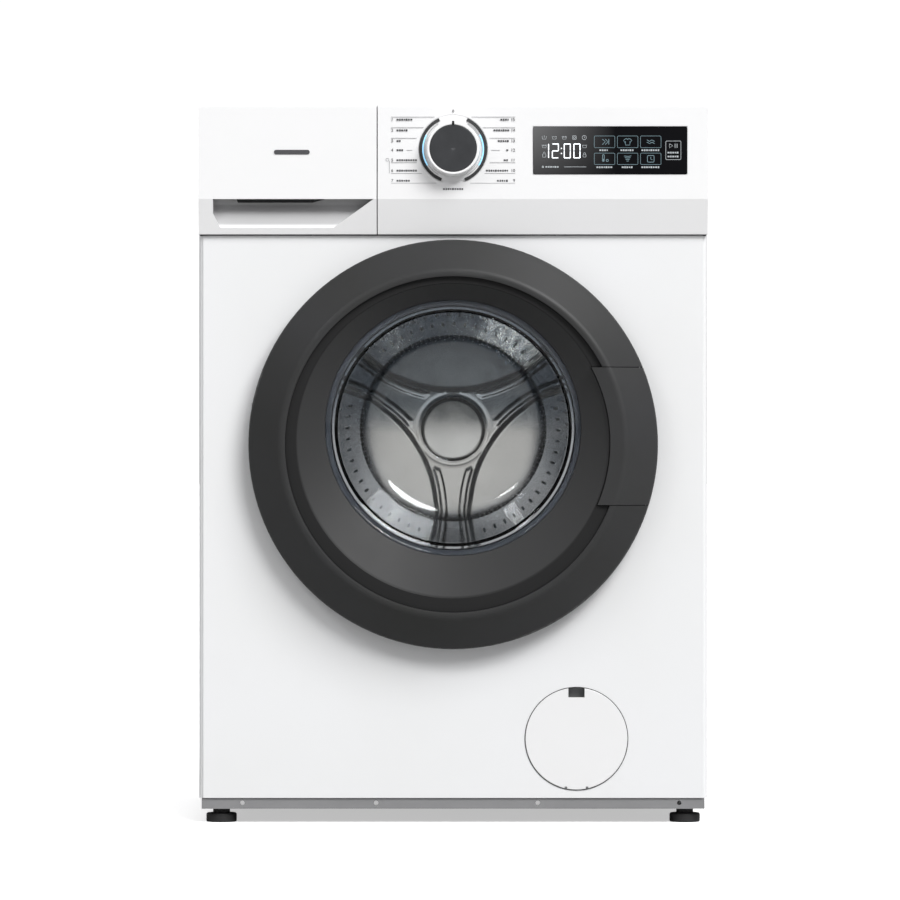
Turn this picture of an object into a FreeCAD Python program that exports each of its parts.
import FreeCAD, Part
import math
import os
import Sketcher

# A front-loading washing machine.  Millimetres, +Z up, the front faces -Y.
# The origin is on the floor, under the middle of the machine.

V = FreeCAD.Vector
GAP = 0.3          # clearance between pieces that move past each other
SKIN = 0.05        # running clearance between a shaft and its bore

SIZES = {
    # cabinet
    "wide": 600, "high": 848, "sheet_t": 1, "corner_rad": 6,
    "front_y": -216, "rear_y": 257, "base_z": 16.5, "panel_z": 29.5, "lid_z": 826,
    "opening_rad": 170,
    # control fascia and detergent drawer
    "fascia_z": 693.8, "crease_z": 735.8, "fascia_y": -231, "fascia_low_y": -221,
    "fascia_rear_y": -205, "seam_x": -89.5, "seam_gap": 1.2, "shell_t": 2.5,
    "knob_z": 794.5, "knob_rad": 32.2, "knob_y": -252,
    "lens_x": 94.1, "lens_wide": 181.6, "lens_z": 764.8, "lens_high": 56.6,
    # door
    "door_z": 446.8, "door_rad": 241, "door_rear_y": -221, "crest_y": -270,
    "step_rad": 196.9, "band_z": 451, "band_rad": 184.8, "band_y": -264,
    "glass_rad": 150.5, "glass_y": -245, "glass_t": 4,
    "hinge_x": -232, "hinge_y": -232, "pin_rad": 3,
    "grip_z": 375.7, "grip_high": 161.3, "grip_pin_x": 190, "grip_pin_y": -256,
    # drum and tub
    "drum_z": 466.2, "drum_rad": 235, "drum_front_y": -150, "drum_rear_y": 118,
    "drum_mouth_rad": 165, "drum_t": 1.2,
    "tub_rad": 252, "tub_t": 4, "tub_front_y": -166, "tub_split_y": -40, "tub_rear_y": 150,
    "neck_rad": 182, "shaft_rad": 15, "pulley_rad": 130, "pulley_y": 204, "belt_wide": 16,
    # motor, pump and service flap
    "motor_x": -110, "motor_z": 156, "motor_rad": 60, "motor_pulley_rad": 10.25,
    "flap_x": 145.6, "flap_z": 99.4, "flap_rad": 60.3, "flap_pin_y": -216, "flap_pin_z": 41.4,
    "flap_slot_x": 12.5, "pump_rad": 28,
    # suspension and feet
    "spring_x": 215, "spring_y": 20, "damper_x": 150, "damper_y": 10,
    "foot_x": 274.5, "foot_front_y": -190, "foot_rear_y": 232, "foot_rad": 18, "foot_high": 10.6,
}

doc = FreeCAD.newDocument("FrontLoadWasher")
sheet = doc.addObject("Spreadsheet::Sheet", "Sizes")
NODES = {}


class Size:
    """A length that keeps the sheet formula it was worked out with."""

    def __init__(self, value, formula):
        self.value = value
        self.formula = formula

    def joined(self, sign, other, value):
        return Size(value, f"({self.formula} {sign} {other.formula})")

    def __add__(self, other):
        other = as_size(other)
        return self.joined("+", other, self.value + other.value)

    def __sub__(self, other):
        other = as_size(other)
        return self.joined("-", other, self.value - other.value)

    def __mul__(self, other):
        other = as_size(other)
        return self.joined("*", other, self.value * other.value)

    def __truediv__(self, other):
        other = as_size(other)
        return self.joined("/", other, self.value / other.value)

    def __radd__(self, other):
        return as_size(other) + self

    def __rsub__(self, other):
        return as_size(other) - self

    def __rmul__(self, other):
        return as_size(other) * self

    def __neg__(self):
        return as_size(0) - self


def as_size(item):
    if isinstance(item, Size):
        return item
    return Size(float(item), f"({float(item)})")


class Sheet:
    """Reads a named cell of the sheet as a Size."""

    def __getattr__(self, name):
        return Size(float(SIZES[name]), f"Sizes.{name}")


def fill_sheet():
    for row, (name, value) in enumerate(SIZES.items(), 1):
        sheet.set(f"A{row}", name)
        sheet.set(f"B{row}", str(value))
        sheet.setAlias(f"B{row}", name)
    doc.recompute()


S = Sheet()


def bind(piece, prop, item):
    item = as_size(item)
    if "Sizes" in item.formula:
        piece.setExpression(prop, item.formula)
    else:
        setattr(piece, prop, item.value)


def place(piece, at, turn=None):
    """Puts a piece at a point, turned by (axis, degrees)."""
    rotation = FreeCAD.Rotation(V(*turn[0]), turn[1]) if turn else FreeCAD.Rotation()
    spot = [as_size(value) for value in at]
    piece.Placement = FreeCAD.Placement(V(*[item.value for item in spot]), rotation)
    for letter, item in zip("xyz", spot):
        if "Sizes" in item.formula:
            piece.setExpression(f"Placement.Base.{letter}", item.formula)
    return piece


def node(name, piece):
    """Names a finished piece: its label is the name of its file."""
    piece.Label = name
    NODES[name] = piece
    return piece


# ---- Part primitives and booleans -------------------------------------------------

def box(name, x, y, z):
    piece = doc.addObject("Part::Box", name)
    for side, (low, high) in zip(("Length", "Width", "Height"), (x, y, z)):
        bind(piece, side, as_size(high) - low)
    return place(piece, (x[0], y[0], z[0]))


TURNS = {"x": ((0, 1, 0), 90), "y": ((1, 0, 0), -90), "z": None}


def rod(name, radius, x, y, z):
    """A round bar. Two of x, y and z are its centre, the third is its two ends."""
    piece = doc.addObject("Part::Cylinder", name)
    bind(piece, "Radius", radius)
    at = []
    turn = None
    for letter, item in zip("xyz", (x, y, z)):
        if isinstance(item, tuple):
            bind(piece, "Height", as_size(item[1]) - item[0])
            turn = TURNS[letter]
            at.append(item[0])
        else:
            at.append(item)
    return place(piece, at, turn)


def fuse(name, *pieces):
    whole = doc.addObject("Part::MultiFuse", name)
    whole.Shapes = list(pieces)
    return whole


def common(name, *pieces):
    whole = doc.addObject("Part::MultiCommon", name)
    whole.Shapes = list(pieces)
    return whole


def cut(name, base, *tools):
    whole = doc.addObject("Part::Cut", name)
    whole.Base = base
    whole.Tool = tools[0] if len(tools) == 1 else fuse(name + "_tools", *tools)
    return whole


def group(name, *pieces):
    """Several separate solids in one node, such as a set of screws."""
    whole = doc.addObject("Part::Compound", name)
    whole.Links = list(pieces)
    return whole


def tube(name, outer, inner, x, y, z):
    return cut(name, rod(name + "_outer", outer, x, y, z), rod(name + "_bore", inner, x, y, z))


def funnel(name, wide_rad, wide_at, narrow_rad, narrow_at):
    """A slanted cone along Y between two circles, each centred at (z, y)."""
    rings = []
    for label, radius, (z, y) in (("wide", wide_rad, wide_at), ("narrow", narrow_rad, narrow_at)):
        ring = doc.addObject("Part::Circle", f"{name}_{label}")
        bind(ring, "Radius", radius)
        rings.append(place(ring, (0, y, z), ((1, 0, 0), 90)))
    loft = doc.addObject("Part::Loft", name)
    loft.Sections = rings
    loft.Solid = True
    loft.Ruled = True
    return loft


# ---- PartDesign bodies -------------------------------------------------------------

class Outline:
    """Draws a closed outline in a sketch and ties each corner to its sizes."""

    def __init__(self, sketch, corners):
        self.sketch = sketch
        self.corners = [tuple(as_size(item) for item in (*corner, 0)[:3]) for corner in corners]
        self.cuts = [self.corner_cut(index) for index in range(len(corners))]

    def spot(self, index):
        x, y, _ = self.corners[index % len(self.corners)]
        return V(x.value, y.value, 0)

    def corner_cut(self, index):
        """Where a rounded corner leaves its two sides, and its centre."""
        radius = self.corners[index][2].value
        here = self.spot(index)
        if not radius:
            return here, here, None, 0
        back = (self.spot(index - 1) - here).normalize()
        ahead = (self.spot(index + 1) - here).normalize()
        half = back.getAngle(ahead) / 2
        middle = (back + ahead).normalize()
        side = math.copysign(1, ahead.cross(back).z)
        reach = radius / math.tan(half)
        centre = here + middle * (radius / math.sin(half))
        return here + back * reach, here + ahead * reach, centre, side

    def draw(self):
        lines = []
        count = len(self.corners)
        for index in range(count):
            start = self.cuts[index][1]
            end = self.cuts[(index + 1) % count][0]
            lines.append(self.sketch.addGeometry(Part.LineSegment(start, end), False))
        for index in range(count):
            self.tie_corner(index, lines[index - 1], lines[index])

    def tie_corner(self, index, line_in, line_out):
        x, y, radius = self.corners[index]
        start, end, centre, side = self.cuts[index]
        if centre is None:
            self.add("Coincident", line_in, 2, line_out, 1)
            self.fix_point(line_out, 1, x, y)
            return
        first, last = (start, end) if side > 0 else (end, start)
        circle = Part.Circle(centre, V(0, 0, 1), radius.value)
        angles = [math.atan2(spot.y - centre.y, spot.x - centre.x) for spot in (first, last)]
        arc = self.sketch.addGeometry(Part.ArcOfCircle(circle, *angles), False)
        corner = self.sketch.addGeometry(Part.Point(self.spot(index)), True)
        self.fix_point(corner, 1, x, y)
        self.add("PointOnObject", corner, 1, line_in)
        self.add("PointOnObject", corner, 1, line_out)
        self.add("Tangent", line_in, 2, arc, 1 if side > 0 else 2)
        self.add("Tangent", arc, 2 if side > 0 else 1, line_out, 1)
        self.measure("Radius", radius, arc)

    def add(self, *what):
        return self.sketch.addConstraint(Sketcher.Constraint(*what))

    def measure(self, kind, item, *geometry):
        index = self.add(kind, *geometry, item.value)
        if "Sizes" in item.formula:
            self.sketch.setExpression(f"Constraints[{index}]", item.formula)

    def fix_point(self, geometry, end, x, y):
        for kind, item, axis in (("DistanceX", x, -2), ("DistanceY", y, -1)):
            if item.value == 0:
                self.add("PointOnObject", geometry, end, axis)
            else:
                self.measure(kind, item, -1, 1, geometry, end)


def sketch_on(body, plane, corners):
    sketch = body.newObject("Sketcher::SketchObject", body.Name + "_sketch")
    face = [item for item in body.Origin.OriginFeatures if item.Role == plane][0]
    sketch.AttachmentSupport = [(face, "")]
    sketch.MapMode = "FlatFace"
    Outline(sketch, corners).draw()
    return sketch


def turned(name, corners, at, axis="y", turn=None):
    """A turned piece: corners are (radius, place along the axis), with a rounding if any."""
    body = doc.addObject("PartDesign::Body", name)
    sketch = sketch_on(body, "XY_Plane" if axis == "y" else "XZ_Plane", corners)
    solid = body.newObject("PartDesign::Revolution", name + "_turn")
    solid.Profile = sketch
    solid.ReferenceAxis = (sketch, ["V_Axis"])
    solid.Angle = 360
    return place(body, at, turn)


def padded(name, plane, corners, length, at, turn=None):
    """A prism. A YZ_Plane outline grows along +X, XY_Plane along +Z, XZ_Plane along -Y."""
    body = doc.addObject("PartDesign::Body", name)
    sketch = sketch_on(body, plane, corners)
    solid = body.newObject("PartDesign::Pad", name + "_pad")
    solid.Profile = sketch
    bind(solid, "Length", length)
    return place(body, at, turn)


def screw(name, x, y, z, head=4.5, shank=2, length=12):
    """A pan-head screw driven in along -Y, its head resting at y."""
    rim = turned(name + "_rim", [(0, 0), (head, 0), (head, 2.4, 1.6), (0, 2.6)], (x, y, z))
    stem = rod(name + "_stem", shank, x, (as_size(y) - length, y), z)
    slots = [
        box(name + "_slot_a", (as_size(x) - 2.6, as_size(x) + 2.6),
            (as_size(y) + 1.4, as_size(y) + 3), (as_size(z) - 0.6, as_size(z) + 0.6)),
        box(name + "_slot_b", (as_size(x) - 0.6, as_size(x) + 0.6),
            (as_size(y) + 1.4, as_size(y) + 3), (as_size(z) - 2.6, as_size(z) + 2.6)),
    ]
    return cut(name, fuse(name + "_blank", rim, stem), *slots)


# ---- cabinet -----------------------------------------------------------------------

def cabinet_wrap():
    """Both sides and the rear, one bent sheet with rounded front corners and front flanges."""
    flange = 28
    t = S.sheet_t
    low = S.panel_z
    front = S.front_y + t + 0.2
    corners = []
    for sign in (-1, 1):
        outer = S.wide / 2 * sign
        turn_in = sign * (S.wide / 2 - flange)
        outside = [(turn_in, front), (outer, front, S.corner_rad), (outer, S.rear_y + t, 3)]
        inside = [(outer - sign * t, S.rear_y, 2), (outer - sign * t, front + t, S.corner_rad - t),
                  (turn_in, front + t)]
        corners.append((outside, inside))
    (left_out, left_in), (right_out, right_in) = corners
    wrap = padded("wrap", "XY_Plane", left_out + right_out[::-1] + right_in[::-1] + left_in,
                  S.lid_z - low, (0, 0, low))
    rear = (S.rear_y - 5, S.rear_y + 5)
    window = box("rear_window", (-150, 150), rear, (300, 640))
    valve_hole = rod("rear_valve_hole", 16, -200, rear, 775)
    drain_hole = rod("rear_drain_hole", 12, 230, rear, 700)
    mains_hole = rod("rear_mains_hole", 11, 200, rear, 790)
    bolt_holes = [
        rod(f"rear_bolt_hole_{index}", 15, x, rear, z)
        for index, (x, z) in enumerate(TRANSIT_SPOTS)
    ]
    notch = box("wrap_notch", (-S.wide, S.wide), (S.front_y - 5, S.fascia_rear_y + 0.5),
                (S.fascia_z - 1, S.lid_z + 1))
    node("cabinet_wrap", cut("wrap_drilled", wrap, notch, window, valve_hole, drain_hole, mains_hole,
                             *bolt_holes))


def front_panel():
    """The front sheet with its turned-back edge, the door opening and the flap opening."""
    half = S.wide / 2 - S.corner_rad + 1
    top = S.fascia_z - S.seam_gap / 2
    sheet_face = box("front_face", (-half, half), (S.front_y, S.front_y + S.sheet_t), (S.panel_z, top))
    returns = [
        box(f"front_return_{index}", (-268, 268), (S.front_y, S.front_y + 13), (z, z + S.sheet_t))
        for index, z in enumerate((S.panel_z, top - S.sheet_t))
    ]
    lip = rod("front_lip", S.opening_rad + 2, 0, (S.front_y, S.front_y + 14), S.drum_z)
    flap_lip = rod("flap_lip", S.flap_rad + 1.9, S.flap_x, (S.front_y, S.front_y + 8), S.flap_z)
    mouth = rod("front_mouth", S.opening_rad, 0, (S.front_y - 1, S.front_y + 20), S.drum_z)
    flap_mouth = rod("flap_mouth", S.flap_rad + 0.9, S.flap_x, (S.front_y - 1, S.front_y + 20), S.flap_z)
    hook_slot = box("hook_slot", (195, 219), (S.front_y - 1, S.front_y + 5),
                    (S.drum_z - 16, S.drum_z + 16))
    arm_slots = [
        box(f"arm_slot_{level}", (S.hinge_x + 6, S.hinge_x + 27), (S.front_y - 1, S.front_y + 5),
            (S.drum_z + level - 7, S.drum_z + level + 7))
        for level in (-24, 24)
    ]
    whole = fuse("front_whole", sheet_face, *returns, lip, flap_lip)
    node("front_panel", cut("front_sheet", whole, mouth, flap_mouth, hook_slot, *arm_slots))


def base_frame():
    """The steel base tray: a frame on edge with corner plates and two cross beams."""
    half = S.wide / 2 - 3
    wall = 2
    outer = box("base_outer", (-half, half), (S.front_y + 2, S.rear_y - 1), (S.base_z, S.panel_z))
    inner = box("base_inner", (wall - half, half - wall), (S.front_y + 2 + wall, S.rear_y - 1 - wall),
                (S.base_z - 1, S.panel_z + 1))
    parts = [cut("base_rim", outer, inner)]
    for name, y in (("front", S.foot_front_y), ("rear", S.foot_rear_y)):
        for side in (-1, 1):
            x = side * S.foot_x
            parts.append(box(f"base_corner_{name}_{side}", (x - 22, x + 22), (y - 22, y + 22),
                             (S.base_z, S.base_z + 3)))
    for name, y in (("damper", S.damper_y), ("pump", as_size(-150))):
        parts.append(box(f"base_beam_{name}", (-half + 1, half - 1), (y - 15, y + 15),
                         (S.panel_z - 3, S.panel_z)))
    holes = [
        rod(f"base_hole_{index}", 2.6, x, (S.front_y, S.front_y + 6), S.base_z + 7)
        for index, x in enumerate((-249, -91, 100, 267))
    ]
    for name, y in (("front", S.foot_front_y), ("rear", S.foot_rear_y)):
        for side in (-1, 1):
            holes.append(rod(f"base_thread_{name}_{side}", 5 + SKIN, side * S.foot_x, y,
                             (S.base_z - 1, S.base_z + 5)))
    node("base_frame", cut("base_drilled", fuse("base_blank", *parts), *holes))


def worktop():
    corners = [
        (S.fascia_rear_y, S.lid_z), (S.rear_y + 5, S.lid_z),
        (S.rear_y + 5, S.high, 6), (S.fascia_rear_y, S.high),
    ]
    node("worktop", padded("lid", "YZ_Plane", corners, S.wide, (-S.wide / 2, 0, 0)))


def service_cover():
    """The round-cornered cover over the pulley and the belt, and the transit hole plugs."""
    rear = S.rear_y
    corners = [(-165, 286, 24), (165, 286, 24), (165, 654, 24), (-165, 654, 24)]
    plate = padded("cover_plate", "XZ_Plane", corners, 1.2, (0, rear + S.sheet_t + 1.2, 0))
    rise = [(-140, 311, 18), (140, 311, 18), (140, 629, 18), (-140, 629, 18)]
    dome = padded("cover_dome", "XZ_Plane", rise, 7, (0, rear + S.sheet_t + 7, 0))
    well = [(-138, 313, 16), (138, 313, 16), (138, 627, 16), (-138, 627, 16)]
    hollow = padded("cover_hollow", "XZ_Plane", well, 8, (0, rear + S.sheet_t + 5.5, 0))
    node("rear_service_cover", cut("cover", fuse("cover_blank", plate, dome), hollow))
    screws = [
        screw(f"cover_screw_{index}", x, rear + S.sheet_t + 1.2, z)
        for index, (x, z) in enumerate(COVER_SCREWS)
    ]
    nuts = [
        tube(f"nut_{row}_{side}", 9, 5 + SKIN, x, y, (S.base_z + 3, S.base_z + 9))
        for row, side, x, y in foot_spots()
    ]
    node("cabinet_fasteners", group("cover_screws", *screws, *nuts))
    plugs = []
    for index, (x, z) in enumerate(TRANSIT_SPOTS):
        profile = [(0, -6), (14, -6), (14.6, 0), (18, 0), (18, 2.2, 1.4), (0, 3)]
        plugs.append(turned(f"plug_{index}", profile, (x, rear + S.sheet_t, z)))
    node("transit_hole_plugs", group("plugs", *plugs))


TRANSIT_SPOTS = [(-190, 250), (190, 250), (-190, 690), (150, 690)]
COVER_SCREWS = [(x, z) for x in (-152, 0, 152) for z in (299, 641)] + [(-152, 470), (152, 470)]


def top_brace():
    """The beam across the top that the suspension springs hang from."""
    half = S.wide / 2 - S.sheet_t
    corners = [
        (S.spring_y - 18, S.lid_z), (S.spring_y - 18, S.lid_z - 14), (S.spring_y + 18, S.lid_z - 14),
        (S.spring_y + 18, S.lid_z), (S.spring_y + 16, S.lid_z), (S.spring_y + 16, S.lid_z - 12),
        (S.spring_y - 16, S.lid_z - 12), (S.spring_y - 16, S.lid_z),
    ]
    node("top_brace", padded("brace", "YZ_Plane", corners, half * 2, (-half, 0, 0)))


# ---- control fascia and drawer -------------------------------------------------------

def fascia_outline():
    """The fascia's section: upright above the crease and leaning in below it."""
    low = S.fascia_z + S.seam_gap / 2
    return [
        (S.fascia_low_y, low, 1), (S.fascia_y, S.crease_z, 1.5), (S.fascia_y + 1, S.high, 4),
        (S.fascia_rear_y, S.high), (S.fascia_rear_y, low),
    ]


def fascia_hollow():
    low = S.fascia_z + S.seam_gap / 2 + S.shell_t
    return [
        (S.fascia_low_y + S.shell_t, low), (S.fascia_y + S.shell_t, S.crease_z),
        (S.fascia_y + 1 + S.shell_t, S.high - S.shell_t), (S.fascia_rear_y + 1, S.high - S.shell_t),
        (S.fascia_rear_y + 1, low),
    ]


def control_fascia():
    left = S.seam_x + S.seam_gap / 2
    right = S.wide / 2
    blank = padded("fascia_blank", "YZ_Plane", fascia_outline(), right - left, (left, 0, 0))
    hollow = padded("fascia_hollow", "YZ_Plane", fascia_hollow(),
                    right - left - 2 * S.shell_t, (left + S.shell_t, 0, 0))
    lens_low = S.lens_x + S.lens_wide
    lens_seat = box("lens_seat", (S.lens_x - 0.2, lens_low + 0.2), (S.fascia_y - 2, S.fascia_y + 2.2),
                    (S.lens_z - 0.2, S.lens_z + S.lens_high + 0.2))
    shaft_hole = rod("fascia_shaft_hole", 6, 0, (S.fascia_y - 5, S.fascia_y + 10), S.knob_z)
    ring_seat = tube("ring_seat", 41, 38, 0, (S.fascia_y - 5, S.fascia_y + 1.4), S.knob_z)
    node("control_fascia", cut("fascia", blank, hollow, lens_seat, shaft_hole, ring_seat))

    lens = padded("lens", "XZ_Plane", [
        (0, 0, 2.5), (S.lens_wide, 0, 2.5), (S.lens_wide, S.lens_high, 2.5), (0, S.lens_high, 2.5),
    ], 2.4, (S.lens_x, S.fascia_y + 2.2, S.lens_z))
    node("display_lens", lens)
    node("programme_light_ring",
         tube("light_ring", 40.8, 38.2, 0, (S.fascia_y + 0.2, S.fascia_y + 1.4), S.knob_z))

    board = box("board_plate", (-14, 288), (S.fascia_y + 9, S.fascia_y + 11), (752, 838))
    chips = [
        box(f"board_chip_{index}", (x, x + 18), (S.fascia_y + 11, S.fascia_y + 16), (z, z + 14))
        for index, (x, z) in enumerate(((90, 766), (130, 800), (175, 770), (225, 800), (255, 764)))
    ]
    glow = box("board_display", (100, 272), (S.fascia_y + 4, S.fascia_y + 9), (770, 816))
    body = rod("encoder_body", 12, 0, (S.fascia_y + 4.5, S.fascia_y + 14), S.knob_z)
    bore = rod("encoder_bore", 3 + SKIN, 0, (S.fascia_y + 1, S.fascia_y + 12), S.knob_z)
    node("control_board", cut("board_bored", fuse("board", board, glow, body, *chips), bore))


def programme_knob():
    """A silver ring with a darker cap let into it, on a 6 mm shaft."""
    rear = S.fascia_y - 0.6
    ring = turned("knob_blank", [
        (0, rear), (S.knob_rad, rear, 0.8), (S.knob_rad - 1.2, S.knob_y, 1.4), (28, S.knob_y + 0.4),
        (28, S.knob_y + 3), (0, S.knob_y + 3),
    ], (0, 0, S.knob_z))
    shaft = rod("knob_shaft", 3, 0, (rear - 1, S.fascia_y + 11), S.knob_z)
    node("knob_body", fuse("knob", ring, shaft))
    cap = turned("knob_cap_turn", [
        (0, S.knob_y + 3), (27.8, S.knob_y + 3), (27.8, S.knob_y, 1), (0, S.knob_y + 0.8),
    ], (0, 0, S.knob_z))
    node("knob_cap", cap)


def detergent_drawer():
    """The drawer's front with its scooped finger recess, and the tray behind it."""
    left = -S.wide / 2
    right = S.seam_x - S.seam_gap / 2
    blank = padded("drawer_blank", "YZ_Plane", fascia_outline(), right - left, (left, 0, 0))
    hollow = box("drawer_hollow", (left + 3, right - 3), (S.fascia_y + 4, S.fascia_rear_y + 1),
                 (S.crease_z + 16, S.high - 3))
    scoop = padded("scoop_section", "YZ_Plane", [
        (S.fascia_low_y - 20, 702.2), (S.fascia_low_y - 0.4, 702.2), (S.fascia_rear_y - 4, S.crease_z - 6, 5),
        (S.fascia_rear_y - 4, S.crease_z + 11), (S.fascia_y + 6, S.crease_z + 11, 2),
        (S.fascia_y + 4, S.crease_z), (S.fascia_low_y - 20, S.crease_z),
    ], 220, (left, 0, 0))
    grip = padded("scoop_outline", "XZ_Plane", [
        (-283, 719, 3), (-274.8, 702, 5), (-141.6, 702, 5), (-93.7, S.crease_z), (-110, S.crease_z + 12),
        (-283, S.crease_z + 12),
    ], 60, (0, S.fascia_rear_y - 4, 0))
    node("drawer_front", cut("drawer_face", blank, hollow, common("scoop", scoop, grip)))

    rear = -25
    walls = box("tray_blank", (-275, -105), (S.fascia_rear_y, rear), (742, 812))
    cups = [
        box(f"tray_cup_{index}", (low, high), (S.fascia_rear_y + 3, y), (744.5, 820))
        for index, (low, high, y) in enumerate(((-272, -206, -28), (-203, -154, -28), (-151, -108, -28)))
    ]
    node("drawer_tray", cut("tray", walls, *cups))
    cover = box("siphon_cover", (-202.6, -154.4), (-110, -28.4), (792, 795))
    pipe = rod("siphon_pipe", 6, -178, -60, (747, 792))
    node("softener_siphon", fuse("siphon", cover, pipe))

    shell = box("housing_blank", (-280, -100), (S.fascia_rear_y + 1, -12), (733, 824))
    space = box("housing_space", (-277.5, -102.5), (S.fascia_rear_y - 5, -15), (735.5, 821.5))
    spout = rod("housing_spout", 15, -190, -80, (716, 734))
    drain = rod("housing_drain", 12.5, -190, -80, (700, 736))
    node("dispenser_housing", cut("housing", fuse("housing_shell", shell, spout), space, drain))


# ---- water inlet, drain outlet and mains inlet --------------------------------------

def rear_fittings():
    rear = S.rear_y + S.sheet_t
    valve = box("valve_block", (-222, -178), (205, rear - 1.2), (757, 793))
    spigot = rod("valve_spigot", 13.2, -200, (rear - 2, 269.5), 775)
    bore = rod("valve_bore", 9, -200, (240, 275), 775)
    outlet = rod("valve_outlet", 7, -187, (-12, 206), 775)
    coil = box("valve_coil", (-214, -186), (215, 245), (793, 812))
    node("inlet_valve", cut("valve", fuse("valve_blank", valve, spigot, outlet, coil), bore))
    flange = turned("drain_outlet_turn", [
        (7, -30), (9, -30), (9, -4), (11.5, -4), (11.5, 1), (18, 1), (18, 3.5, 1), (9.5, 3.5),
        (9.5, 11.5), (7, 11.5),
    ], (230, rear, 700))
    node("drain_outlet", flange)
    gland = turned("mains_gland_turn", [
        (4, -10), (10.6, -10), (10.6, 1), (15, 1), (15, 4, 1), (8, 6), (7, 11.5, 1), (4, 11.5),
    ], (200, rear, 790))
    node("mains_gland", gland)


# ---- door --------------------------------------------------------------------------

def grip_block(name, grow):
    low = S.grip_z - grow
    return box(name, (100, 260), (-290, S.door_rear_y - 8 + grow), (low, low + S.grip_high + 2 * grow))


def grip_zone(name, grow):
    """The space of the door grip: a band of the ring and the dish on their right side."""
    block = grip_block(name + "_block", grow)
    core = rod(name + "_core", S.band_rad - 0.7 - grow, 0, (-295, -200), S.door_z + 2.2)
    return cut(name, block, core)


def hinge_notch(name):
    """Room in the back of the door for the hinge arms to swing."""
    return box(name, (-246, -200), (S.hinge_y - 5.8, S.door_rear_y + 1), (S.drum_z - 36, S.drum_z + 36))


def finger_gap(name):
    return box(name, (205, 250), (S.door_rear_y - 8.5, S.door_rear_y + 1), (398, 515))


def door_ring():
    """The outer ring, highest near its inner edge and falling away to its rim."""
    profile = [
        (S.door_rad, S.door_rear_y), (S.door_rad, S.crest_y + 30, 6), (S.step_rad + 6, S.crest_y, 10),
        (S.step_rad, S.crest_y + 0.9), (S.step_rad, S.crest_y + 3.9),
        (S.step_rad + 6, S.crest_y + 3.5, 7), (S.door_rad - 2.6, S.crest_y + 31.5, 3),
        (S.door_rad - 2.6, S.door_rear_y),
    ]
    ring = turned("ring_blank", profile, (0, 0, S.door_z))
    node("door_outer_ring", cut("ring", ring, grip_block("ring_grip", 0.8),
                                hinge_notch("ring_notch"), finger_gap("ring_gap")))


def door_dish():
    """The eccentric dish between the ring and the glass, a shell 3 mm thick."""
    rear = S.glass_y + 4
    disc = rod("dish_disc", S.step_rad - GAP, 0, (S.band_y, rear), S.door_z)
    space = rod("dish_space", S.step_rad - 3, 0, (S.band_y + 3, rear + 1), S.door_z)
    backing = funnel("dish_backing", S.band_rad + 3, (S.band_z, S.band_y + 2),
                     S.glass_rad + 3, (S.drum_z, rear + 2))
    shell = cut("dish_shell", disc, cut("dish_cavity", space, backing))
    slope = funnel("dish_slope", S.band_rad + 0.85, (S.band_z - 0.35, S.band_y - 0.5),
                   S.glass_rad, (S.drum_z, S.glass_y))
    bore = rod("dish_bore", S.glass_rad, 0, (S.glass_y - 0.1, rear + 5), S.drum_z)
    node("door_dish", cut("dish", shell, slope, bore, grip_zone("dish_grip", 0.8)))


def door_glass():
    """The glass bowl: a flat flange and a deep rounded cup."""
    t = S.glass_t
    y = S.glass_y
    profile = [
        (S.glass_rad - GAP, y), (S.glass_rad - 12, y, 4), (128, y + 30, 16), (108, -162, 26), (0, -157),
        (0, -153), (111, -158, 30), (132.5, y + 30, 16), (S.glass_rad - 9, y + t, 3),
        (S.glass_rad - GAP, y + t),
    ]
    node("door_glass", turned("glass", profile, (0, 0, S.drum_z)))


def door_frame():
    """The back of the door. Its collar clamps the glass, its blocks carry the grip's pin."""
    rear = S.door_rear_y
    plate = rod("frame_plate", S.door_rad - 3, 0, (rear - 3, rear), S.door_z)
    collar = rod("frame_collar", S.glass_rad - 1, 0, (S.glass_y + S.glass_t, rear - 1), S.drum_z)
    hole = rod("frame_hole", S.glass_rad - 6, 0, (-260, -200), S.drum_z)
    blocks = []
    for index, low in enumerate((409, 498)):
        blocks.append(box(f"frame_block_{index}", (S.grip_pin_x - 6, S.grip_pin_x + 5),
                          (S.grip_pin_y - 3.5, rear - 1), (low, low + 8)))
    leaf_seat = box("frame_leaf_seat", (-208, -190), (S.hinge_y - 6, rear - 1), (S.drum_z - 15, S.drum_z + 15))
    pin_hole = rod("frame_pin_hole", 2, S.grip_pin_x, S.grip_pin_y, (400, 515))
    hook_hole = box("frame_hook_hole", (192, 222), (-245, -215), (S.drum_z - 14, S.drum_z + 14))
    body = fuse("frame_blank", plate, collar, *blocks)
    body = cut("frame_cut", body, hole, hinge_notch("frame_notch"), finger_gap("frame_gap"),
               pin_hole, hook_hole)
    node("door_back_frame", fuse("frame", body, leaf_seat))
    pins = [
        rod("grip_pin", 2, S.grip_pin_x, S.grip_pin_y, (S.grip_z + 14, 521)),
        rod("hook_pin", 2, HOOK_X, HOOK_Y, (S.drum_z - 13.5, S.drum_z + 13.5)),
    ]
    screws = []
    for index in range(8):
        angle = math.radians(22.5 + 45 * index)
        x = 214 * math.cos(angle)
        z = 214 * math.sin(angle)
        screws.append(screw(f"door_screw_{index}", x, rear, S.door_z + z, 4, 1.8, 9))
    node("door_fasteners", group("door_screw_set", *pins, *screws))


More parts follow.
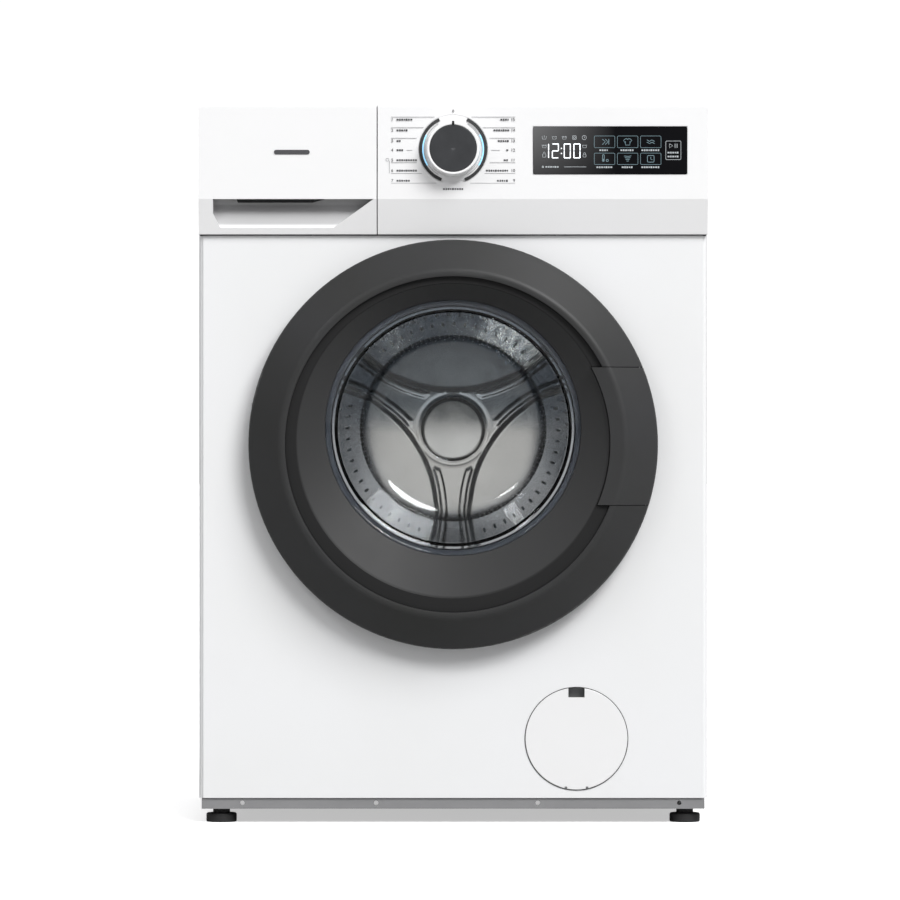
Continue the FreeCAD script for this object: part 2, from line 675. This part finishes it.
def door_hinge():
    """Two fixed knuckles on slanted arms through the front panel, and the door's leaf."""
    arms = []
    for level in (-24, 24):
        low = S.drum_z + level - 5
        arms.append(rod(f"knuckle_{level}", 5.5, S.hinge_x, S.hinge_y, (low, low + 10)))
        bar = box(f"hinge_bar_{level}", (0, 30), (-3, 3), (0, 10))
        place(bar, (S.hinge_x - 2.1, S.hinge_y + 2.1, low), ((0, 0, 1), 45))
        bar.setExpression("Placement.Base.x", "Sizes.hinge_x + 2.1")
        bar.setExpression("Placement.Base.y", "Sizes.hinge_y - 2.1")
        arms.append(bar)
    plate = box("hinge_plate", (S.hinge_x + 6, S.hinge_x + 34), (S.front_y + S.sheet_t, S.front_y + 5),
                (S.drum_z - 45, S.drum_z + 45))
    trim = box("hinge_trim", (S.hinge_x - 20, S.hinge_x + 60), (S.front_y + 5, S.front_y + 30),
               (S.drum_z - 50, S.drum_z + 50))
    bore = rod("hinge_bore", S.pin_rad, S.hinge_x, S.hinge_y, (S.drum_z - 40, S.drum_z + 40))
    pin = rod("hinge_pin", S.pin_rad, S.hinge_x, S.hinge_y, (S.drum_z - 29, S.drum_z + 29))
    bracket = cut("bracket", fuse("bracket_blank", plate, *arms), bore, trim)
    node("hinge_bracket", group("bracket_and_pin", bracket, pin))
    leaf = box("leaf_bar", (S.hinge_x, -192), (S.hinge_y - 5.5, S.hinge_y - 1), (S.drum_z - 15, S.drum_z + 15))
    knuckle = rod("leaf_knuckle", 5.5, S.hinge_x, S.hinge_y, (S.drum_z - 18, S.drum_z + 18))
    leaf_bore = rod("leaf_bore", S.pin_rad + SKIN, S.hinge_x, S.hinge_y, (S.drum_z - 40, S.drum_z + 40))
    seat = box("leaf_clear", (-208.01, -189), (S.hinge_y - 6.01, -226), (S.drum_z - 16, S.drum_z + 16))
    leaf_body = cut("leaf", fuse("leaf_blank", leaf, knuckle), leaf_bore, seat)
    node("hinge_leaf", leaf_body)


def door_grip():
    """The pull grip: a curved shell over the ring, with two lugs on its pin."""
    profile = [
        (S.door_rad, S.door_rear_y - 9), (S.door_rad, S.crest_y + 29.5, 6), (S.step_rad + 6, S.crest_y, 10),
        (S.band_rad - 4, S.crest_y + 3.4), (S.band_rad - 4, S.crest_y + 7),
        (S.step_rad + 6, S.crest_y + 5, 6), (S.door_rad - 4.5, S.crest_y + 32, 3),
        (S.door_rad - 4.5, S.door_rear_y - 9),
    ]
    shell = turned("grip_shell", profile, (0, 0, S.door_z))
    body = common("grip_cap", shell, grip_zone("grip_area", 0))
    lugs = []
    for index, low in enumerate((394, 511)):
        lugs.append(rod(f"grip_lug_{index}", 4, S.grip_pin_x, S.grip_pin_y, (low, low + 8)))
        lugs.append(box(f"grip_web_{index}", (S.grip_pin_x - 4, S.grip_pin_x + 4),
                        (S.crest_y + 5, S.grip_pin_y), (low, low + 8)))
    pull = box("grip_pull", (S.grip_pin_x + 8, S.grip_pin_x + 16), (S.crest_y + 4, -240), (S.drum_z - 8, S.drum_z + 8))
    bore = rod("grip_bore", 2 + SKIN, S.grip_pin_x, S.grip_pin_y, (380, 530))
    node("door_grip", cut("grip", fuse("grip_blank", body, *lugs, pull), bore))


def door_hook():
    """The latch hook behind the grip, on a short upright pin."""
    x = as_size(HOOK_X)
    y = as_size(HOOK_Y)
    boss = rod("hook_boss", 5, x, y, (S.drum_z - 9, S.drum_z + 9))
    arm = box("hook_arm", (x - 3, x + 3), (y, -193), (S.drum_z - 6, S.drum_z + 6))
    nose = box("hook_nose", (x - 3, x + 7), (-199, -193), (S.drum_z - 6, S.drum_z + 6))
    bore = rod("hook_bore", 2 + SKIN, x, y, (S.drum_z - 20, S.drum_z + 20))
    node("door_hook", cut("hook", fuse("hook_blank", boss, arm, nose), bore))


HOOK_X = 207
HOOK_Y = -230


def door_lock():
    body = box("lock_body", (186, 232), (S.front_y + S.sheet_t, -178), (S.drum_z - 45, S.drum_z + 45))
    mouth = box("lock_mouth", (190, 224), (S.front_y - 1, -184), (S.drum_z - 14, S.drum_z + 14))
    node("door_lock", cut("lock", body, mouth))


# ---- gasket, tub and drum -----------------------------------------------------------

def door_gasket():
    """The rubber bellows between the front panel and the tub, with its lip on the glass."""
    profile = [
        (S.opening_rad + 5, S.front_y + 12), (S.opening_rad + 5, S.front_y + 15),
        (S.opening_rad - 3, S.front_y + 15), (S.opening_rad - 6, -190), (S.neck_rad - 4, -186),
        (S.neck_rad + 4, -186), (S.neck_rad + 4, -171), (S.neck_rad + GAP, -171),
        (S.neck_rad + GAP, -182.5), (S.neck_rad - 6, -182.5), (S.opening_rad - 10, -187),
        (S.opening_rad - 10, -194), (146, -190), (133.2, -203), (135, -206), (147, -194),
        (S.opening_rad - 9, -198), (S.opening_rad - 6, S.front_y - 2), (S.opening_rad + 5, S.front_y - 2),
        (S.opening_rad + 5, S.front_y - 0.1), (S.opening_rad - 0.2, S.front_y - 0.1),
        (S.opening_rad - 0.2, S.front_y + 14.1), (S.opening_rad + 2.2, S.front_y + 14.1),
        (S.opening_rad + 2.2, S.front_y + 12),
    ]
    node("door_gasket", turned("gasket", profile, (0, 0, S.drum_z)))


def tub():
    """The plastic tub in two halves that clamp together on a seal, with its fittings."""
    inner = S.tub_rad - S.tub_t
    front = turned("tub_front_turn", [
        (S.neck_rad - 4, S.tub_front_y - 16), (S.neck_rad, S.tub_front_y - 16),
        (S.neck_rad, S.tub_front_y), (S.tub_rad, S.tub_front_y, 8), (S.tub_rad, S.tub_split_y - 6),
        (S.tub_rad + 6, S.tub_split_y - 6), (S.tub_rad + 6, S.tub_split_y - 1), (inner, S.tub_split_y - 1),
        (inner, S.tub_front_y + S.tub_t, 5), (S.neck_rad - 4, S.tub_front_y + S.tub_t),
    ], (0, 0, S.drum_z))
    core = rod("tub_front_core", inner, 0, (S.tub_front_y + S.tub_t, S.tub_split_y), S.drum_z)
    filler = tube("tub_filler", 15, 12.5, -190, -80, (590, 668))
    sump = tube("tub_sump_spout", 20, 17, 60, -125, (200, 240))
    filler_bore = rod("tub_filler_bore", 12.5, -190, -80, (590, 670))
    sump_bore = rod("tub_sump_bore", 17, 60, -125, (195, 240))
    node("tub_front", cut("tub_front_cut", fuse("tub_front_all", front, filler, sump), core,
                          filler_bore, sump_bore))

    rear_in = S.tub_rear_y - S.tub_t
    rear = turned("tub_rear_turn", [
        (S.tub_rad + 6, S.tub_split_y + 1), (S.tub_rad + 6, S.tub_split_y + 6), (S.tub_rad, S.tub_split_y + 6),
        (S.tub_rad, S.tub_rear_y, 8), (44, S.tub_rear_y, 3), (38, 190), (26, 190), (26, 172), (24, 172),
        (24, 160), (31, 160), (31, 145.5), (34, 145.5), (34, 134), (44, 134), (46, rear_in, 3),
        (inner, rear_in, 5), (inner, S.tub_split_y + 1),
    ], (0, 0, S.drum_z))
    extras = []
    for side in (-1, 1):
        x = side * S.spring_x
        extras.append(box(f"tub_spring_lug_{side}", (x - 12, x + 12), (S.spring_y - 6, S.spring_y + 6),
                          (560, 640)))
        x = side * S.damper_x
        extras.append(box(f"tub_damper_lug_{side}", (x - 14, x + 14), (S.damper_y - 10, S.damper_y + 10),
                          (252, 320)))
    for index, y in enumerate((48, 142)):
        extras.append(box(f"tub_motor_lug_{index}", (S.motor_x - 25, S.motor_x + 25), (y, y + 8),
                          (S.motor_z + 40, S.drum_z - 200)))
    extras.append(box("tub_trough", (-75, 75), (-30, S.tub_rear_y), (S.drum_z - 284, S.drum_z - 230)))
    barrel = rod("tub_rear_core", inner, 0, (S.tub_split_y, rear_in), S.drum_z)
    trough = box("tub_trough_space", (-71, 71), (-26, rear_in), (S.drum_z - 280, S.drum_z - 200))
    motor_clear = rod("tub_motor_clear", S.motor_rad, S.motor_x, (30, 180), S.motor_z)
    lugs = cut("tub_extras", fuse("tub_extras_all", *extras), barrel, motor_clear)
    shell = fuse("tub_rear_all", rear, lugs)
    heater_hole = box("tub_heater_hole", (-46, 46), (rear_in - 2, S.tub_rear_y + 3),
                      (S.drum_z - 272, S.drum_z - 252))
    node("tub_rear", cut("tub_rear_cut", shell, trough, heater_hole))

    legs = []
    for side in (-1, 1):
        legs.append(rod(f"heater_leg_{side}", 4, side * 38, (-10, 152), S.drum_z - 262))
    bend = rod("heater_bend", 4, (-38, 38), -10, S.drum_z - 262)
    flange = box("heater_flange", (-55, 55), (S.tub_rear_y, S.tub_rear_y + 6), (S.drum_z - 276, S.drum_z - 248))
    stopper = box("heater_stopper", (-45.8, 45.8), (rear_in, S.tub_rear_y + 1),
                  (S.drum_z - 271.8, S.drum_z - 252.2))
    node("heater", fuse("heater_all", *legs, bend, flange, stopper))

    clips = []
    for index in range(10):
        angle = 18 + 36 * index
        clip = box(f"tub_clip_{index}", (-6, 6), (S.tub_split_y - 8, S.tub_split_y + 8), (0, 5))
        reach = S.tub_rad + 6
        sine = math.sin(math.radians(angle))
        cosine = math.cos(math.radians(angle))
        place(clip, (reach * sine - 6 * cosine, S.tub_split_y - 8, S.drum_z + reach * cosine + 6 * sine),
              ((0, 1, 0), angle))
        clips.append(clip)
    node("tub_clips", group("tub_clip_set", *clips))


def counterweights():
    ring = turned("weight_ring", [
        (196, S.tub_front_y), (196, S.tub_front_y - 30, 5), (248, S.tub_front_y - 30, 5), (248, S.tub_front_y),
    ], (0, 0, S.drum_z))
    gap = box("weight_gap", (150, 260), (-210, -150), (S.drum_z - 70, S.drum_z + 70))
    block = box("weight_block", (-78, 125), (-30, 125), (S.drum_z + 180, S.drum_z + 306))
    seat = rod("weight_seat", S.tub_rad, 0, (-60, 160), S.drum_z)
    chamfer = box("weight_corner", (96, 140), (-60, 160), (S.drum_z + 285, S.drum_z + 330))
    node("counterweights", group("weights", cut("weight_arc", ring, gap), cut("weight", block, seat, chamfer)))


def drum():
    """The stainless drum: shell, front ring, rear plate, three lifters and the spider."""
    t = S.drum_t
    rad = S.drum_rad
    shell = turned("drum_shell_turn", [
        (rad, S.drum_front_y, 2), (rad, S.drum_rear_y), (rad - t, S.drum_rear_y),
        (rad - t, S.drum_front_y + t), (rad - 6, S.drum_front_y + t), (rad - 6, S.drum_front_y),
    ], (0, 0, S.drum_z))
    mouth = S.drum_mouth_rad
    front = turned("drum_front_turn", [
        (rad - 6, S.drum_front_y), (rad - 6, S.drum_front_y + t), (mouth + 10, S.drum_front_y + t, 3),
        (mouth + 1.5, S.drum_front_y + 14), (mouth, S.drum_front_y + 14), (mouth, S.drum_front_y - 2, 1),
        (mouth + 8, S.drum_front_y - 2, 2), (mouth + 10, S.drum_front_y),
    ], (0, 0, S.drum_z))
    node("drum_shell", fuse("drum_barrel", shell, front))
    plate = turned("drum_plate", [
        (0, S.drum_rear_y - 1.5), (rad - t, S.drum_rear_y - 1.5), (rad - t, S.drum_rear_y), (0, S.drum_rear_y),
    ], (0, 0, S.drum_z))
    stars = [turned("drum_hub_dome", [
        (0, S.drum_rear_y - 6), (38, S.drum_rear_y - 6, 3), (42, S.drum_rear_y - 1), (0, S.drum_rear_y - 1),
    ], (0, 0, S.drum_z))]
    spokes = []
    lifters = []
    for index in range(3):
        turn = ((0, 1, 0), 120 * index + 60)
        stars.append(padded(f"drum_star_{index}", "XZ_Plane", [
            (-26, 20), (26, 20), (34, 205, 12), (-34, 205, 12),
        ], 3, (0, S.drum_rear_y - 1, S.drum_z), turn))
        spokes.append(padded(f"spider_arm_{index}", "XZ_Plane", [
            (-18, 10), (18, 10), (13, rad - 12, 4), (-13, rad - 12, 4),
        ], 14, (0, S.drum_rear_y + 15, S.drum_z), turn))
        lifters.append(padded(f"lifter_{index}", "XZ_Plane", [
            (-31, -231), (31, -231), (13, -186, 10), (-13, -186, 10),
        ], 236, (0, S.drum_rear_y - 10, S.drum_z), ((0, 1, 0), 120 * index + 60)))
    node("drum_lifters", group("lifters", *lifters))
    node("drum_rear_plate", fuse("drum_back", plate, *stars))
    hub = turned("spider_hub", [
        (S.shaft_rad, S.drum_rear_y), (32, S.drum_rear_y), (32, S.drum_rear_y + 15), (S.shaft_rad, S.drum_rear_y + 15),
    ], (0, 0, S.drum_z))
    bore = rod("spider_bore", S.shaft_rad, 0, (S.drum_rear_y - 5, S.drum_rear_y + 30), S.drum_z)
    spider = cut("spider", fuse("spider_all", *spokes, hub), bore)
    shaft = turned("shaft_turn", [
        (0, S.drum_rear_y), (S.shaft_rad, S.drum_rear_y), (S.shaft_rad, 162), (12.5, 162),
        (12.5, S.pulley_y + 20), (0, S.pulley_y + 20),
    ], (0, 0, S.drum_z))
    bolt = turned("pulley_bolt", [
        (0, S.pulley_y + 20), (11, S.pulley_y + 20), (11, S.pulley_y + 27, 2), (0, S.pulley_y + 27),
    ], (0, 0, S.drum_z))
    node("drum_spider", group("spider_and_shaft", spider, shaft, bolt))
    node("bearings_and_seal", group(
        "bearing_set",
        tube("seal", 34, S.shaft_rad + SKIN, 0, (135, 145), S.drum_z),
        tube("front_bearing", 31, S.shaft_rad + SKIN, 0, (145.5, 159.5), S.drum_z),
        tube("rear_bearing", 26, 12.5 + SKIN, 0, (173, 188), S.drum_z),
    ))


def drive():
    """The drum pulley, the ribbed belt and the motor with its small pulley."""
    y = S.pulley_y
    rad = S.pulley_rad
    wheel = turned("pulley_wheel", [
        (12.5, y), (24, y), (24, y + 5), (rad - 8, y + 5), (rad - 8, y), (rad, y), (rad, y + 18),
        (rad - 8, y + 18), (rad - 8, y + 8), (24, y + 8), (24, y + 18), (12.5, y + 18),
    ], (0, 0, S.drum_z))
    windows = []
    for index in range(5):
        windows.append(padded(f"pulley_window_{index}", "XZ_Plane", [
            (-16, 42, 6), (16, 42, 6), (40, 108, 12), (-40, 108, 12),
        ], 20, (0, y + 19, S.drum_z), ((0, 1, 0), 72 * index)))
    node("drum_pulley", cut("pulley", wheel, *windows))
    node("drive_belt", belt_loop())

    x = S.motor_x
    z = S.motor_z
    can = rod("motor_can", S.motor_rad, x, (40, 165), z)
    space = rod("motor_space", S.motor_rad - 8, x, (48, 157), z)
    stator = tube("motor_stator", S.motor_rad - 8, 38, x, (65, 140), z)
    shaft_hole = rod("motor_shaft_hole", 8 + SKIN, x, (35, 170), z)
    shell = cut("motor_shell", can, space)
    node("motor_housing", cut("motor_case", fuse("motor_all", shell, stator), shaft_hole))
    shaft = rod("rotor_shaft", 8, x, (42, y + 20), z)
    core = rod("rotor_core", 37, x, (68, 137), z)
    sheave = rod("rotor_sheave", S.motor_pulley_rad, x, (y, y + 18), z)
    collars = [rod(f"rotor_collar_{index}", 12.5, x, (y + low, y + low + 1.5), z)
               for index, low in enumerate((-1.5, 18))]
    node("motor_rotor", fuse("rotor", shaft, core, sheave, *collars))


def belt_loop():
    """The belt: two arcs joined by their common tangents, 3 mm thick."""
    far = V(S.motor_x.value, 0, S.motor_z.value) - V(0, 0, S.drum_z.value)
    lean = math.asin((S.pulley_rad.value - S.motor_pulley_rad.value) / far.Length)
    along = V(far).normalize()
    across = V(-along.z, 0, along.x)
    faces = []
    for extra in (GAP, GAP + 3):
        sides = []
        for sign in (1, -1):
            radial = across * (sign * math.cos(lean)) + along * math.sin(lean)
            near = radial * (S.pulley_rad.value + extra)
            sides.append((near, far + radial * (S.motor_pulley_rad.value + extra)))
        (big_a, small_a), (big_b, small_b) = sides
        big_top = along * -(S.pulley_rad.value + extra)
        small_tip = far + along * (S.motor_pulley_rad.value + extra)
        edges = [
            Part.Arc(big_a, big_top, big_b).toShape(), Part.LineSegment(big_b, small_b).toShape(),
            Part.Arc(small_b, small_tip, small_a).toShape(), Part.LineSegment(small_a, big_a).toShape(),
        ]
        faces.append(Part.Face(Part.Wire(edges)))
    belt = doc.addObject("Part::Feature", "belt")
    belt.Shape = faces[1].cut(faces[0]).extrude(V(0, S.belt_wide.value, 0))
    place(belt, (0, S.pulley_y + 1, S.drum_z))
    return belt


# ---- suspension, pump, flap and feet ------------------------------------------------

def suspension():
    """Two springs that carry the tub, and two friction dampers below it."""
    springs = []
    cylinders = []
    rods = []
    for side, sign in (("left", -1), ("right", 1)):
        x = sign * S.spring_x
        low = 656
        high = 796
        wire = 2
        helix = doc.addObject("Part::Helix", f"spring_helix_{side}")
        helix.Pitch = 7
        helix.Height = high - low
        helix.Radius = 15
        ring = doc.addObject("Part::Circle", f"spring_ring_{side}")
        ring.Radius = wire
        place(ring, (15, 0, 0), ((1, 0, 0), 90))
        coil = doc.addObject("Part::Sweep", f"spring_coil_{side}")
        coil.Sections = [ring]
        coil.Spine = (helix, ["Edge1"])
        coil.Solid = True
        coil.Frenet = True
        place(coil, (x, S.spring_y, low))
        hooks = []
        for index, (start, end, at) in enumerate(((640, low, low), (high, 812, high))):
            hooks.append(rod(f"spring_stem_{side}_{index}", wire, x, S.spring_y, (start, end)))
            hooks.append(rod(f"spring_bar_{side}_{index}", wire, (x - 0.5, x + 15), S.spring_y, at))
        springs.append(fuse(f"spring_{side}", coil, *hooks))

        x = sign * S.damper_x
        y = S.damper_y
        case = rod(f"damper_case_{side}", 14, x, y, (58, 190))
        bore = rod(f"damper_bore_{side}", 11, x, y, (62, 184))
        neck = rod(f"damper_neck_{side}", 5 + SKIN, x, y, (180, 195))
        foot = box(f"damper_foot_{side}", (x - 8, x + 8), (y - 8, y + 8), (S.panel_z, 58))
        cylinders.append(cut(f"damper_{side}", fuse(f"damper_all_{side}", case, foot), bore, neck))
        stem = rod(f"damper_stem_{side}", 5, x, y, (110, 252))
        piston = rod(f"damper_piston_{side}", 10.7, x, y, (110, 122))
        rods.append(fuse(f"damper_rod_{side}", stem, piston))
    node("suspension_springs", group("springs", *springs))
    node("damper_cylinders", group("cylinders", *cylinders))
    node("damper_rods", group("rods", *rods))


def bellows(name, x, y, low, high, narrow, wide, folds, wall):
    """A rubber bellows hose along Z with round cuffs at both ends."""
    cuff = 12
    step = (high - low - 2 * cuff) / folds
    outer = [(narrow, low), (narrow, low + cuff)]
    for index in range(folds):
        outer.append((wide, low + cuff + step * (index + 0.5)))
        outer.append((narrow, low + cuff + step * (index + 1)))
    outer.append((narrow, high))
    inner = [(radius - wall, z) for radius, z in reversed(outer)]
    return turned(name, outer + inner, (x, y, 0), axis="z")


def pump():
    """The drain pump behind the flap: housing, filter plug, impeller and its motor."""
    x = S.flap_x
    z = S.flap_z
    case = rod("pump_case", S.pump_rad, x, (-204, -100), z)
    elbow = rod("pump_elbow", 16, (60, x), -125, z)
    riser = rod("pump_riser", 18, 60, -125, (z - 20, 150))
    outlet = rod("pump_outlet", 10, x, -118, (z, z + 55))
    foot = box("pump_foot", (x - 20, x + 20), (-165, -135), (S.panel_z, z))
    space = rod("pump_space", S.pump_rad - 4, x, (-210, -104), z)
    elbow_bore = rod("pump_elbow_bore", 13, (60, x), -125, z)
    riser_bore = rod("pump_riser_bore", 15, 60, -125, (z - 17, 160))
    outlet_bore = rod("pump_outlet_bore", 7, x, -118, (z, z + 60))
    hole = rod("pump_shaft_hole", 3 + SKIN, x, (-106, -95), z)
    shell = cut("pump_shell", fuse("pump_all", case, elbow, riser, outlet, foot),
                space, elbow_bore, riser_bore, outlet_bore, hole)
    motor = rod("pump_motor_can", 25, x, (-100, -50), z)
    motor_bore = rod("pump_motor_bore", 3 + SKIN, x, (-101, -62), z)
    node("drain_pump", group("pump_and_motor", shell, cut("pump_motor", motor, motor_bore)))
    shaft = rod("impeller_shaft", 3, x, (-118, -64), z)
    blades = [
        box("impeller_blade_a", (x - 16, x + 16), (-120, -107), (z - 1.2, z + 1.2)),
        box("impeller_blade_b", (x - 1.2, x + 1.2), (-120, -107), (z - 16, z + 16)),
    ]
    node("pump_impeller", fuse("impeller", shaft, *blades))
    plug = turned("filter_plug", [
        (0, -207), (26, -207, 1), (26, -204.3), (23.6, -204.3), (23.6, -196), (20, -196), (20, -135), (17, -135),
        (17, -193), (0, -193),
    ], (x, 0, z))
    grip = box("filter_grip", (x - 20, x + 20), (-212, -206), (z - 3, z + 3))
    slots = [
        box(f"filter_slot_{index}", (x - 30, x + 30), (-188 + index * 14, -180 + index * 14), (z - 30, z + 30))
        for index in range(3)
    ]
    ribs = [
        rod(f"filter_rib_{index}", 1.6, x + 18.3 * math.cos(math.radians(45 + 90 * index)), (-194, -136),
            z + 18.3 * math.sin(math.radians(45 + 90 * index)))
        for index in range(4)
    ]
    node("drain_filter", fuse("filter", cut("filter_basket", plug, *slots), grip, *ribs))


def service_flap():
    """The round flap over the filter, with a finger notch at its top and a pin along its foot."""
    x = S.flap_x
    z = S.flap_z
    disc = turned("flap_disc", [
        (0, -217), (S.flap_rad, -217, 0.8), (S.flap_rad, -214.2), (0, -214.2),
    ], (x, 0, z))
    notch = box("flap_notch", (x - 9.6, x + 9.6), (-220, -210), (z + S.flap_rad - 11.5, z + S.flap_rad + 5))
    slots = []
    posts = []
    for side in (-1, 1):
        post_x = x + side * S.flap_slot_x
        slots.append(box(f"flap_slot_{side}", (post_x - 1.5, post_x + 1.5), (-220, -210),
                         (z - S.flap_rad - 5, S.flap_pin_z + 1.5)))
        posts.append(box(f"surround_post_{side}", (post_x - 1.1, post_x + 1.1), (S.flap_pin_y - 0.8, -205),
                         (S.flap_pin_z - 0.9, S.flap_pin_z + 0.9)))
    reach = S.flap_slot_x + 1.1
    bore = rod("flap_bore", 0.6 + SKIN, (x - S.flap_slot_x, x + S.flap_slot_x), S.flap_pin_y, S.flap_pin_z)
    node("service_flap", cut("flap", disc, notch, bore, *slots))

    ring = tube("surround_ring", S.flap_rad + 0.8, S.flap_rad - 4, x, (-208, -205), z)
    plate = box("surround_plate", (x - 62, x + 62), (-207, -205), (z - 60, z + 62))
    mouth = rod("surround_mouth", 34, x, (-220, -200), z)
    pin = rod("flap_pin", 0.6, (x - reach, x + reach), S.flap_pin_y, S.flap_pin_z)
    body = cut("surround", fuse("surround_all", ring, plate, *posts), mouth)
    node("filter_surround", fuse("surround_and_pin", body, pin))


def foot_spots():
    """Each foot's row, side and place."""
    return [
        (row, side, sign * S.foot_x, y)
        for row, y in (("front", S.foot_front_y), ("rear", S.foot_rear_y))
        for side, sign in (("left", -1), ("right", 1))
    ]


def feet():
    """Four screw feet: a rubber-faced pad, a neck and a threaded stud."""
    for row, side, x, y in foot_spots():
        foot = turned(f"foot_turn_{row}_{side}", [
            (0, 0), (S.foot_rad, 0, 1.5), (S.foot_rad, S.foot_high, 2), (10, S.foot_high),
            (10, S.base_z - 0.6), (5, S.base_z - 0.6), (5, 46, 1), (0, 46),
        ], (x, y, 0), axis="z")
        node(f"foot_{row}_{side}", foot)


def hoses():
    node("dispenser_hose", bellows("dispenser_bellows", -190, -80, 657, 728, 17.8, 22, 5, 2.5))
    node("sump_hose", bellows("sump_bellows", 60, -125, 138, 214, 22.8, 27, 5, 2.5))


def build():
    fill_sheet()
    cabinet_wrap()
    front_panel()
    base_frame()
    worktop()
    service_cover()
    top_brace()
    control_fascia()
    programme_knob()
    detergent_drawer()
    rear_fittings()
    door_ring()
    door_dish()
    door_glass()
    door_frame()
    door_hinge()
    door_grip()
    door_hook()
    door_lock()
    door_gasket()
    tub()
    counterweights()
    drum()
    drive()
    suspension()
    hoses()
    pump()
    service_flap()
    feet()
    doc.recompute()


def check_and_write():
    for item in doc.Objects:
        if "Invalid" in item.State or "Error" in item.State:
            raise RuntimeError(f"{item.Name} failed: {item.State}")
    for name, item in NODES.items():
        if item.Shape.isNull() or not item.Shape.isValid() or not item.Shape.Solids:
            raise RuntimeError(f"{name} has no valid solid")
    os.makedirs("parts", exist_ok=True)
    for name, item in NODES.items():
        item.Shape.exportStep(os.path.join("parts", name + ".step"))
    print(len(NODES), "nodes written")


build()
check_and_write()
